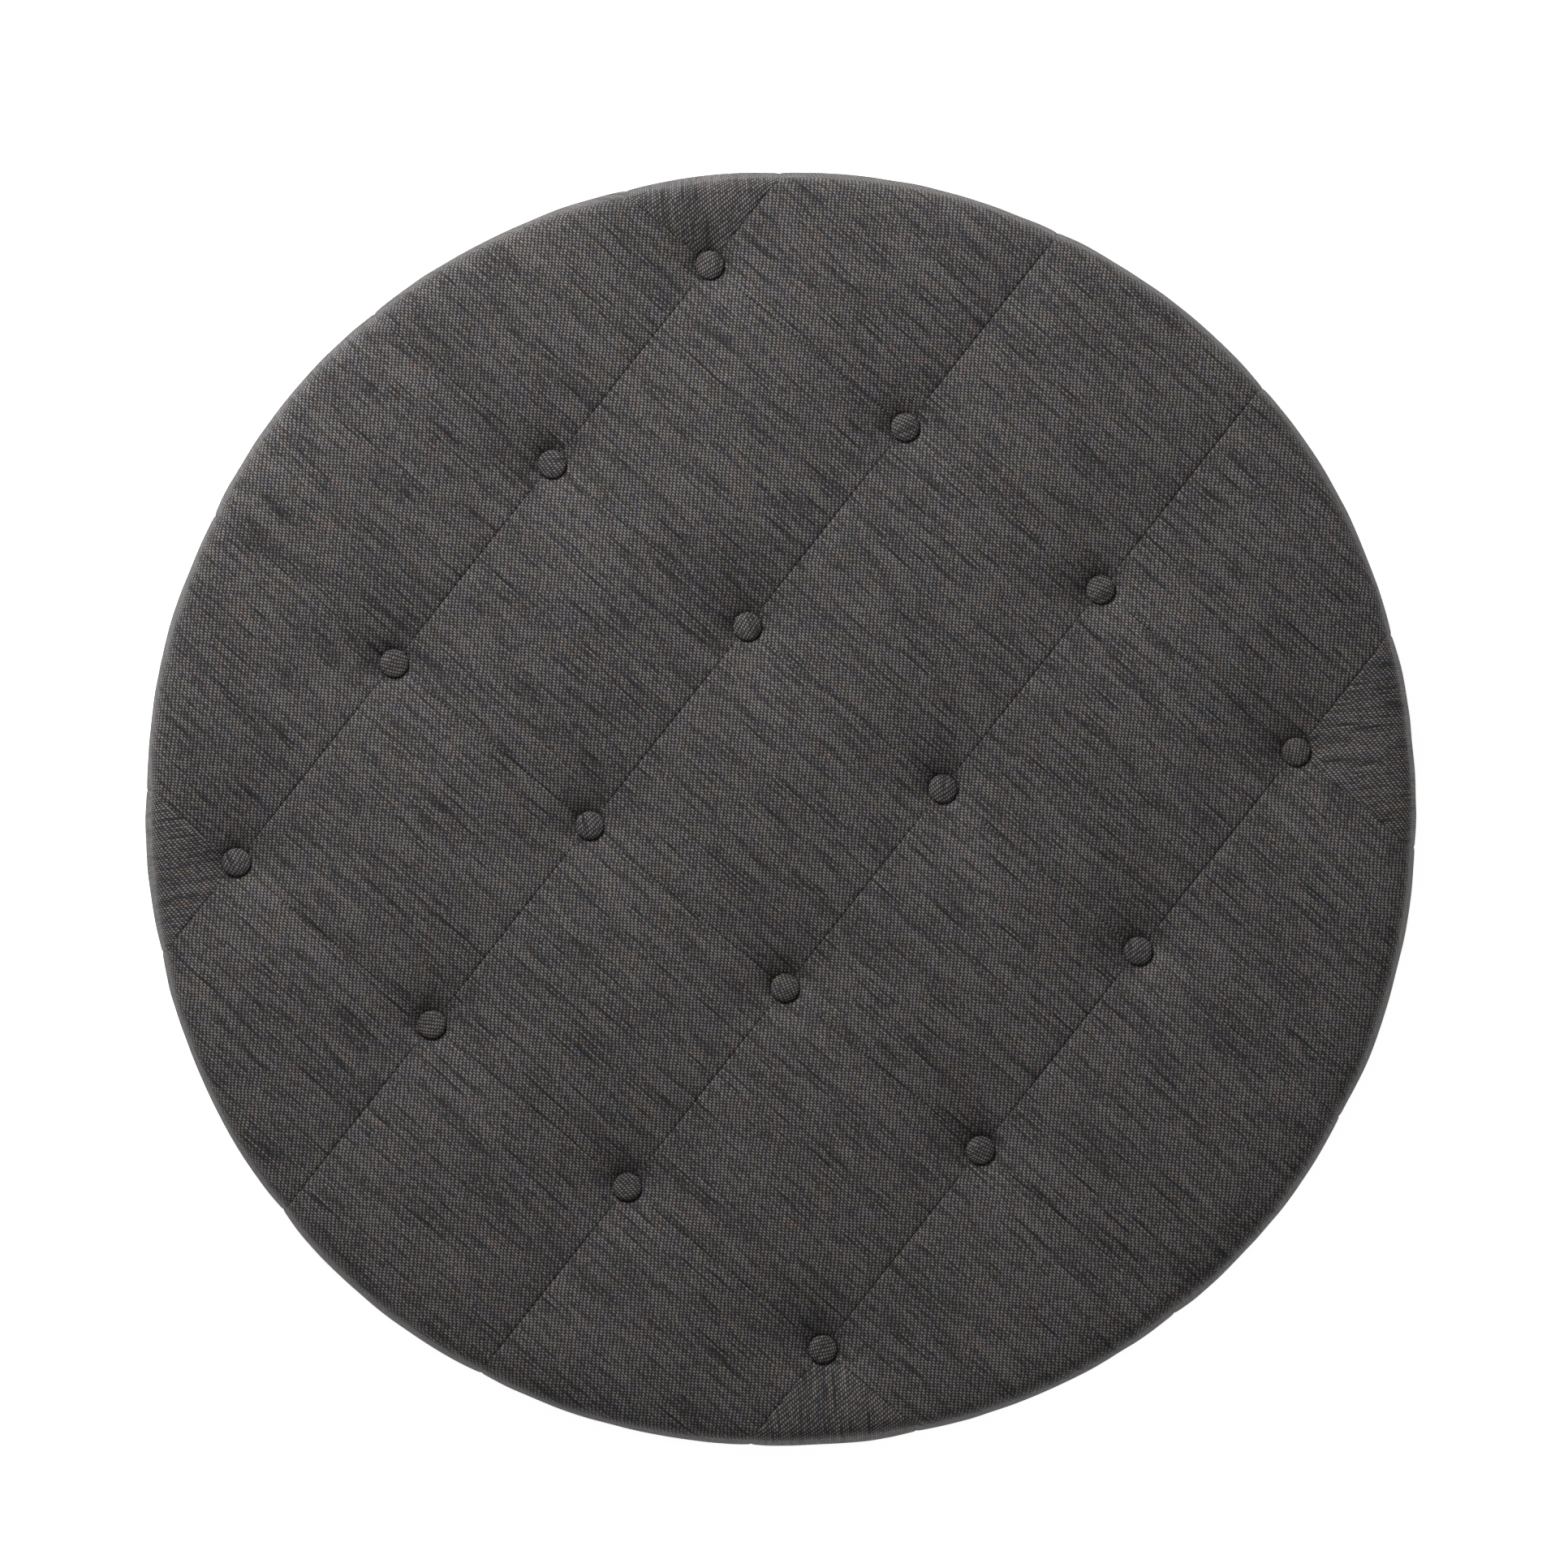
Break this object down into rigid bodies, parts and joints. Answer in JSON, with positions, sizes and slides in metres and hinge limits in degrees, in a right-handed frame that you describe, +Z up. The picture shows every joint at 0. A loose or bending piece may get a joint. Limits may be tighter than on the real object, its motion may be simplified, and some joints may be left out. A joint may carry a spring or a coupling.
{
  "type": "floor cushion",
  "caption": "Round, flat-topped floor cushion with a pieced, deeply buttoned top in dark heathered cloth, foam filled, with a zip round the back of its base seam.",
  "frame": {"origin": "middle of the underside, on the surface it rests on", "axes": "+Z up through the buttoned top, +Y to the back where the zip is, +X to the right"},
  "size_m": [0.86, 0.86, 0.18],
  "materials": {
    "cover_fabric": "matte",
    "button_fabric": "matte",
    "base_fabric": "matte",
    "wadding": "matte",
    "soft_foam": "matte",
    "firm_foam": "matte",
    "button_metal": "satin",
    "twine": "matte",
    "disc_plastic": "matte",
    "zip_tape": "matte",
    "zip_coil": "satin",
    "zip_metal": "satin"
  },
  "bodies": {
    "cushion": {"base_panel": "base_fabric", "button_1_1": "button_fabric", "button_1_2": "button_fabric", "button_1_3": "button_fabric", "button_1_4": "button_fabric", "button_2_1": "button_fabric", "button_2_2": "button_fabric", "button_2_3": "button_fabric", "button_2_4": "button_fabric", "button_3_1": "button_fabric", "button_3_2": "button_fabric", "button_3_3": "button_fabric", "button_3_4": "button_fabric", "button_4_1": "button_fabric", "button_4_2": "button_fabric", "button_4_3": "button_fabric", "button_4_4": "button_fabric", "button_backs": "button_metal", "button_eyes": "button_metal", "button_shells_1": "button_metal", "button_shells_2": "button_metal", "comfort_foam": "soft_foam", "corner_gusset_1": "cover_fabric", "corner_gusset_2": "cover_fabric", "corner_gusset_3": "cover_fabric", "corner_gusset_4": "cover_fabric", "edge_panel_01": "cover_fabric", "edge_panel_02": "cover_fabric", "edge_panel_03": "cover_fabric", "edge_panel_04": "cover_fabric", "edge_panel_05": "cover_fabric", "edge_panel_06": "cover_fabric", "edge_panel_07": "cover_fabric", "edge_panel_08": "cover_fabric", "edge_panel_09": "cover_fabric", "edge_panel_10": "cover_fabric", "edge_panel_11": "cover_fabric", "edge_panel_12": "cover_fabric", "foam_core": "firm_foam", "tie_off_discs": "disc_plastic", "top_square_1_1": "cover_fabric", "top_square_1_2": "cover_fabric", "top_square_1_3": "cover_fabric", "top_square_2_1": "cover_fabric", "top_square_2_2": "cover_fabric", "top_square_2_3": "cover_fabric", "top_square_3_1": "cover_fabric", "top_square_3_2": "cover_fabric", "top_square_3_3": "cover_fabric", "tufting_twines": "twine", "twine_knots": "twine", "wadding_wrap": "wadding", "zip_coil_lower": "zip_coil", "zip_coil_upper": "zip_coil", "zip_end_stops": "zip_metal", "zip_tape_lower": "zip_tape", "zip_tape_upper": "zip_tape"},
    "slider": {"zip_slider": "zip_metal"},
    "pull": {"zip_pull": "zip_metal"}
  },
  "joints": [
    {"name": "zip_travel", "type": "hinge", "parent": "cushion", "child": "slider", "pos_m": [0, 0, 0.029], "axis": [0, 0, 1], "range_deg": [0, 127]},
    {"name": "pull_flip", "type": "hinge", "parent": "slider", "child": "pull", "pos_m": [0.38263, 0.19077, 0.029], "axis": [0, 0, -1], "range_deg": [0, 180]}
  ]
}
